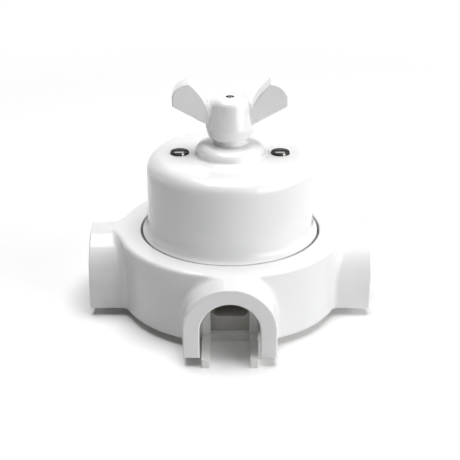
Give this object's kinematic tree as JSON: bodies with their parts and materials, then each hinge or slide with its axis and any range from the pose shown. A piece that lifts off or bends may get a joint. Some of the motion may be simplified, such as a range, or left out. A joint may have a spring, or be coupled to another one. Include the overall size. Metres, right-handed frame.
{
  "type": "rotary two-way light switch",
  "caption": "Porcelain two-way rotary light switch with a wing knob, on a tray under a ring of conduit ports.",
  "frame": {"origin": "centre of the tray's underside, on the wall", "axes": "+Z out of the wall along the spindle, -Y through the front conduit port, +X along the knob's wings"},
  "size_m": [0.1102, 0.1102, 0.0894],
  "materials": {
    "porcelain": "gloss white glaze",
    "tray_plastic": "satin moulding",
    "nickel_plate": "bright nickel plate",
    "brass": "turned, unlacquered",
    "contact_bronze": "rolled strip",
    "steel": "zinc plated",
    "rotor_moulding": "brown moulding"
  },
  "bodies": {
    "housing": {"base_screws": "steel", "bridge_plate": "steel", "common_contact": "contact_bronze", "common_terminal": "brass", "common_terminal_screw": "nickel_plate", "conduit_ring": "porcelain", "cover": "porcelain", "cover_screw_left": "nickel_plate", "cover_screw_right": "nickel_plate", "detent_spring_back": "steel", "detent_spring_front": "steel", "first_way_contact": "contact_bronze", "first_way_terminal": "brass", "first_way_terminal_screw": "nickel_plate", "mounting_plate": "tray_plastic", "pillar_left": "brass", "pillar_nut_left": "nickel_plate", "pillar_nut_right": "nickel_plate", "pillar_right": "brass", "second_way_contact": "contact_bronze", "second_way_terminal": "brass", "second_way_terminal_screw": "nickel_plate", "spindle_bush": "brass", "switch_base": "porcelain", "thrust_washer": "steel"},
    "rotor": {"knob": "porcelain", "knob_screw": "nickel_plate", "spindle": "steel", "retaining_clip": "steel", "contact_rotor": "rotor_moulding", "bridge_contact": "brass", "rotor_spacer": "steel", "detent_cam": "steel"}
  },
  "joints": [
    {"name": "knob_turn", "type": "hinge", "parent": "housing", "child": "rotor", "pos_m": [0, 0, 0.07], "axis": [0, 0, 1], "continuous": true, "deforming": ["detent_spring_front", "detent_spring_back"]}
  ]
}
